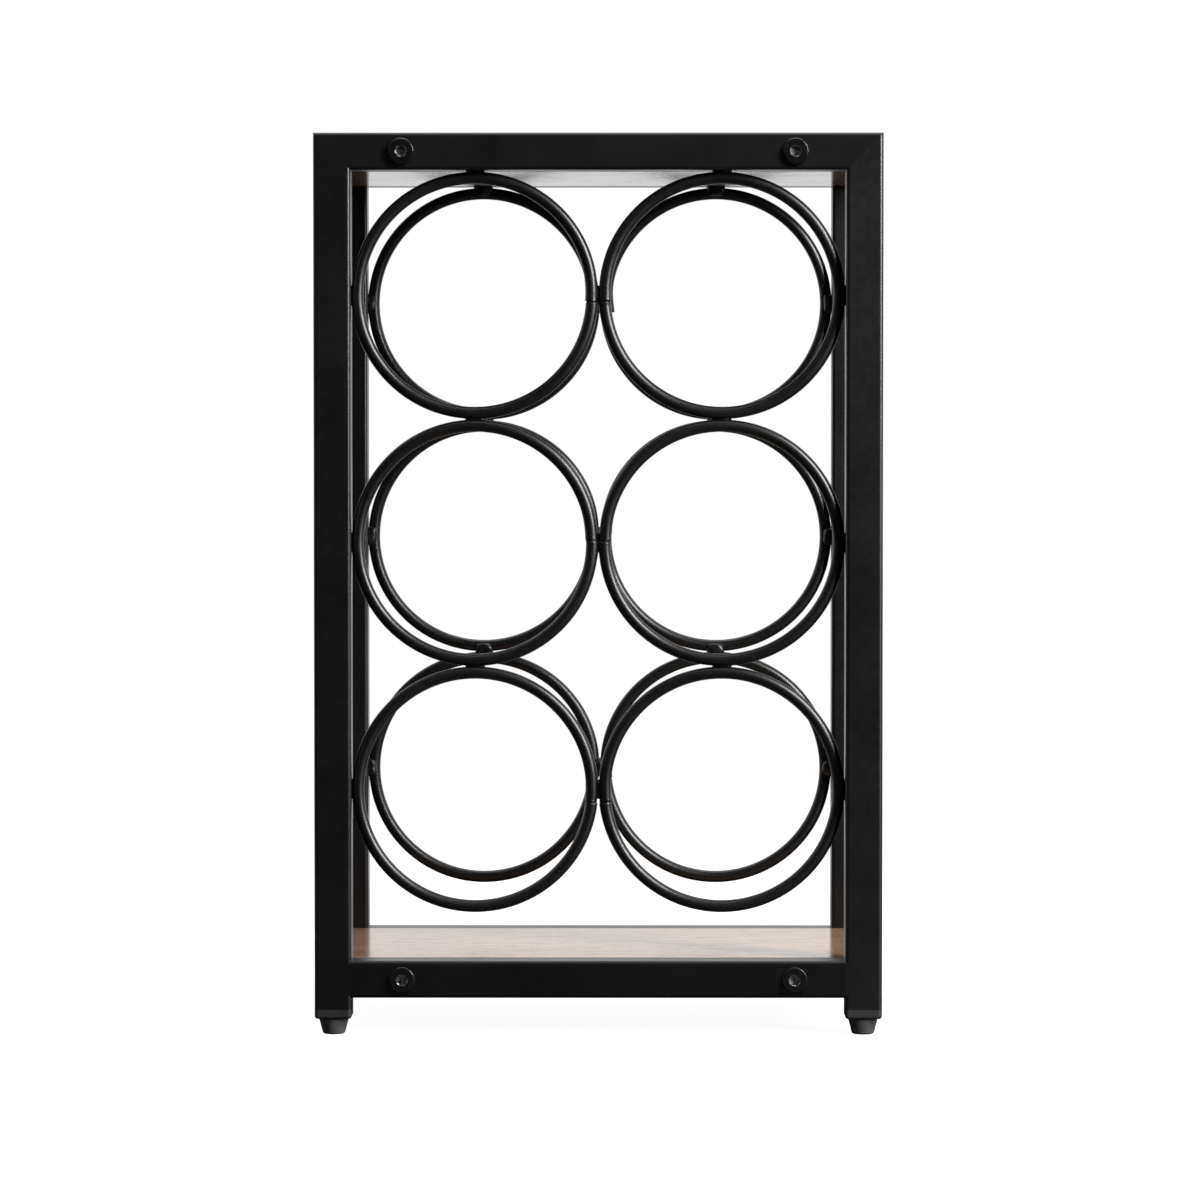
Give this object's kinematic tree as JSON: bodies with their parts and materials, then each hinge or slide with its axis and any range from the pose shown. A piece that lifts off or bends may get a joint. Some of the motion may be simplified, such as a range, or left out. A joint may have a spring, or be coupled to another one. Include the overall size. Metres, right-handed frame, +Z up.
{
  "type": "wine rack",
  "caption": "Small free-standing wine rack: two welded tube frames with wire rings that hold bottles lying down, joined by a wood board above and below, on levelling glides.",
  "frame": {"origin": "on the floor under the middle of the rack", "axes": "+Z up, +X to the right seen from the front, the front faces -Y"},
  "size_m": [0.23, 0.1538, 0.365],
  "materials": {
    "frame": "black powder coat, satin",
    "board": "rustic brown wood-grain melamine, satin",
    "foot": "moulded black plastic",
    "bolt": "black oxide steel, satin",
    "stud": "zinc-plated steel thread",
    "insert": "zinc alloy"
  },
  "bodies": {
    "rack": {"front_left_post": "frame", "front_left_foot_plug": "foot", "front_right_post": "frame", "front_right_foot_plug": "foot", "front_top_rail": "frame", "front_bottom_rail": "frame", "front_ring_top_left": "frame", "front_ring_top_right": "frame", "front_ring_middle_left": "frame", "front_ring_middle_right": "frame", "front_ring_bottom_left": "frame", "front_ring_bottom_right": "frame", "front_bottom_rail_welds": "frame", "front_ring_to_post_welds": "frame", "front_ring_to_rail_welds": "frame", "front_ring_to_ring_welds": "frame", "front_top_bolts": "bolt", "front_bottom_bolts": "bolt", "back_left_post": "frame", "back_left_foot_plug": "foot", "back_right_post": "frame", "back_right_foot_plug": "foot", "back_top_rail": "frame", "back_bottom_rail": "frame", "back_ring_top_left": "frame", "back_ring_top_right": "frame", "back_ring_middle_left": "frame", "back_ring_middle_right": "frame", "back_ring_bottom_left": "frame", "back_ring_bottom_right": "frame", "back_bottom_rail_welds": "frame", "back_ring_to_post_welds": "frame", "back_ring_to_rail_welds": "frame", "back_ring_to_ring_welds": "frame", "back_top_bolts": "bolt", "back_bottom_bolts": "bolt", "top_board": "board", "top_board_edge_bands": "board", "top_board_inserts": "insert", "bottom_board": "board", "bottom_board_edge_bands": "board", "bottom_board_inserts": "insert"},
    "front_left_glide": {"front_left_glide": "foot", "front_left_stud": "stud"},
    "front_right_glide": {"front_right_glide": "foot", "front_right_stud": "stud"},
    "back_left_glide": {"back_left_glide": "foot", "back_left_stud": "stud"},
    "back_right_glide": {"back_right_glide": "foot", "back_right_stud": "stud"}
  },
  "joints": [
    {"name": "front_left_glide_height", "type": "slide", "parent": "rack", "child": "front_left_glide", "axis": [0, 0, -1], "range_m": [0, 0.006]},
    {"name": "front_right_glide_height", "type": "slide", "parent": "rack", "child": "front_right_glide", "axis": [0, 0, -1], "range_m": [0, 0.006]},
    {"name": "back_left_glide_height", "type": "slide", "parent": "rack", "child": "back_left_glide", "axis": [0, 0, -1], "range_m": [0, 0.006]},
    {"name": "back_right_glide_height", "type": "slide", "parent": "rack", "child": "back_right_glide", "axis": [0, 0, -1], "range_m": [0, 0.006]}
  ]
}
